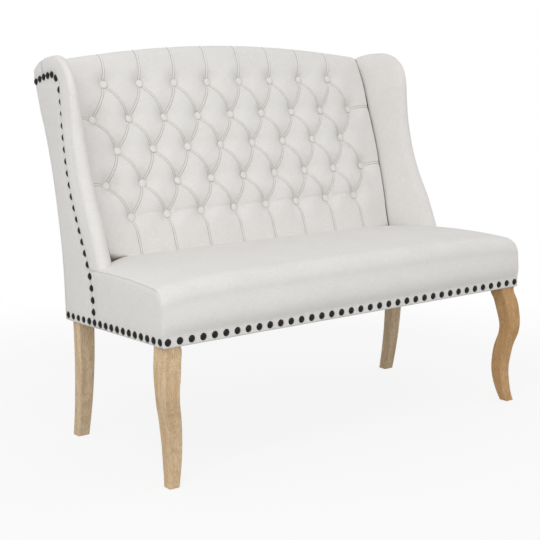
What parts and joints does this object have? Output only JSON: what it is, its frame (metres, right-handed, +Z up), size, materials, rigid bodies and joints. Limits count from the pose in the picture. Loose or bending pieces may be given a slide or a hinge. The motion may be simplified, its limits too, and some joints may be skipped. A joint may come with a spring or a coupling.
{
  "type": "two-seater settee",
  "caption": "Upholstered wing-back settee with a webbed foam seat, deep-buttoned reclined back, nail-head trim and curved wooden legs.",
  "frame": {"origin": "on the floor, at the middle of the overall width and depth", "axes": "+X to the right-hand end as seen from the front (viewer's right), +Y to the rear, +Z up; the settee faces -Y"},
  "size_m": [1.214, 0.6688, 1.0049],
  "materials": {
    "linen": "cream linen weave, matt",
    "button_linen": "cream linen stretched over a button",
    "dust_cloth": "black spun dust cloth",
    "foam": "open-cell upholstery foam",
    "webbing": "woven elastic webbing",
    "frame_wood": "sawn softwood",
    "plywood": "sanded plywood",
    "leg_wood": "light honey oak, thin matt clear coat",
    "nail_black": "gloss black domed nail head",
    "steel": "zinc-plated fastener",
    "glide_plastic": "moulded floor glide"
  },
  "bodies": {
    "root": {"back_cover": "linen", "back_foam": "foam", "back_lower_rail": "plywood", "back_top_rail": "plywood", "block_screws": "steel", "board_screws": "steel", "button_board": "plywood", "corner_blocks": "frame_wood", "dust_cover": "dust_cloth", "floor_glides": "glide_plastic", "front_nails": "nail_black", "front_seat_rail": "frame_wood", "left_back_upright": "plywood", "left_front_leg": "leg_wood", "left_outside_wing_panel": "linen", "left_rear_leg": "leg_wood", "left_seat_side_nails": "nail_black", "left_seat_side_panel": "linen", "left_seat_side_rail": "frame_wood", "left_side_board": "plywood", "left_wing_cover": "linen", "left_wing_foam": "foam", "left_wing_nails": "nail_black", "leg_bolts": "steel", "leg_nuts": "steel", "outside_back_panel": "linen", "rear_seat_rail": "frame_wood", "right_back_upright": "plywood", "right_front_leg": "leg_wood", "right_outside_wing_panel": "linen", "right_rear_leg": "leg_wood", "right_seat_side_nails": "nail_black", "right_seat_side_panel": "linen", "right_seat_side_rail": "frame_wood", "right_side_board": "plywood", "right_wing_cover": "linen", "right_wing_foam": "foam", "right_wing_nails": "nail_black", "seat_centre_rail": "frame_wood", "seat_cover": "linen", "seat_cross_webbing": "webbing", "seat_foam": "foam", "seat_webbing": "webbing", "tuft_buttons": "button_linen"}
  },
  "joints": []
}
